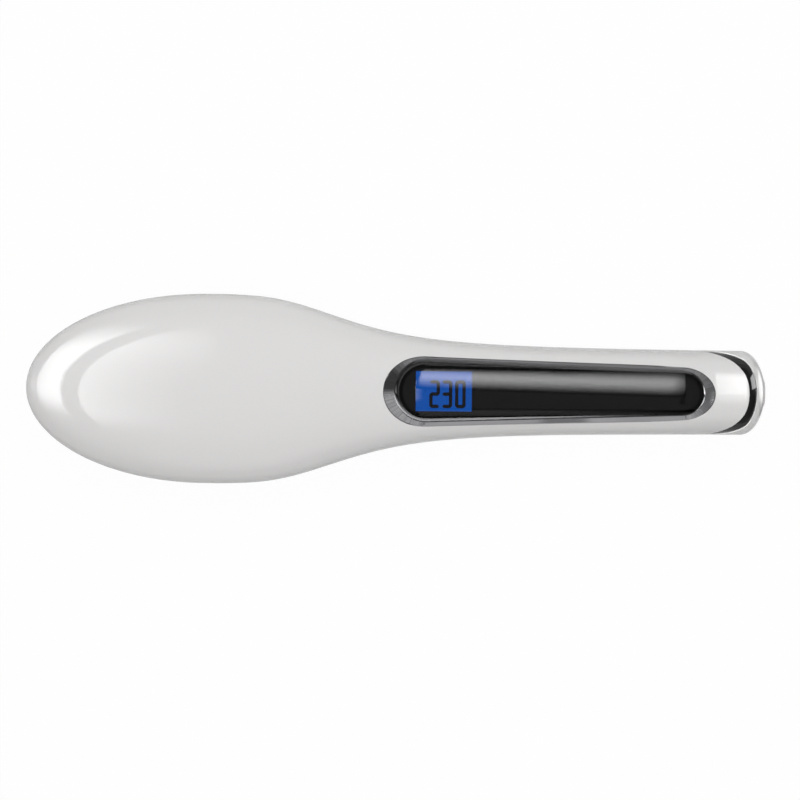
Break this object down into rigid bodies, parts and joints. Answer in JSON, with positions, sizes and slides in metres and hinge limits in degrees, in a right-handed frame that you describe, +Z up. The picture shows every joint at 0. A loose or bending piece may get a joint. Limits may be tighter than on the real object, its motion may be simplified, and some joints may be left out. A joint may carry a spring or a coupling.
{
  "type": "hair straightening brush",
  "caption": "Paddle-shaped hair straightening brush with a heated comb of teeth, a display in a bright bezel on its back, push buttons on the handle and a turning cord inlet.",
  "frame": {"origin": "middle of the length and width, on the plane that the tooth tips and the tail rest on", "axes": "+X along the brush from the head to the tail, +Y across it, +Z up through the smooth back"},
  "size_m": [0.285, 0.073, 0.04],
  "materials": {
    "pearl_white": "glossy pearl white moulding",
    "piano_black": "high gloss black moulding",
    "bright_chrome": "bright plated moulding",
    "clear_window": "clear polished window",
    "lcd_glass": "backlit blue display glass",
    "comb_grey": "fine matt dark grey",
    "tooth_alloy": "satin metal",
    "tip_black": "matt black",
    "guard_grey": "soft dark grey",
    "button_grey": "satin dark grey",
    "inlet_white": "satin white",
    "heater_ceramic": "unglazed",
    "mica_brown": "pressed sheet",
    "clamp_steel": "rolled spring steel",
    "screw_steel": "plated",
    "sensor_glass": "glass bead",
    "lead_sleeve": "silicone sleeve",
    "board_green": "green lacquer",
    "part_black": "moulded black",
    "light_guide": "frosted white",
    "strip_rubber": "layered rubber",
    "contact_brass": "bare metal"
  },
  "bodies": {
    "root": {"back_shell": "pearl_white", "board_screws": "screw_steel", "button_panel": "piano_black", "clamp_screws": "screw_steel", "comb_cover": "comb_grey", "contact_carrier": "part_black", "contact_springs": "contact_brass", "contact_strips": "strip_rubber", "display_bezel": "bright_chrome", "display_window": "clear_window", "front_shell": "pearl_white", "fuse_lead": "lead_sleeve", "guard_bristles": "guard_grey", "head_screws": "screw_steel", "heat_plate": "tooth_alloy", "heated_teeth": "tooth_alloy", "heater_clamp": "clamp_steel", "heater_leads": "lead_sleeve", "insulator_bushes": "heater_ceramic", "key_board": "board_green", "key_screws": "screw_steel", "key_switches": "part_black", "lcd_backlight": "light_guide", "lcd_holder": "piano_black", "lcd_panel": "lcd_glass", "main_board": "board_green", "mica_sheet": "mica_brown", "neck_screws": "screw_steel", "power_capacitor": "part_black", "power_triac": "part_black", "ptc_heaters": "heater_ceramic", "sensor_lead": "lead_sleeve", "supply_leads": "lead_sleeve", "tail_cap": "pearl_white", "tail_trim": "piano_black", "temperature_sensor": "sensor_glass", "terminal_block": "part_black", "thermal_fuse": "clamp_steel", "tooth_tips": "tip_black"},
    "plus": {"plus_button": "button_grey", "plus_plunger": "part_black"},
    "minus": {"minus_button": "button_grey", "minus_plunger": "part_black"},
    "power": {"power_button": "button_grey", "power_plunger": "part_black"},
    "swivel": {"cord_swivel": "inlet_white", "slip_rings": "contact_brass"}
  },
  "joints": [
    {"name": "plus_press", "type": "slide", "parent": "root", "child": "plus", "axis": [0, 0, 1], "range_m": [0, 0.0006], "stiffness_N_per_m": 700},
    {"name": "minus_press", "type": "slide", "parent": "root", "child": "minus", "axis": [0, 0, 1], "range_m": [0, 0.0006], "stiffness_N_per_m": 700},
    {"name": "power_press", "type": "slide", "parent": "root", "child": "power", "axis": [0, 0, 1], "range_m": [0, 0.0006], "stiffness_N_per_m": 700},
    {"name": "cord_turn", "type": "hinge", "parent": "root", "child": "swivel", "pos_m": [0.1375, 0, 0.0166], "axis": [1, 0, 0], "continuous": true}
  ]
}
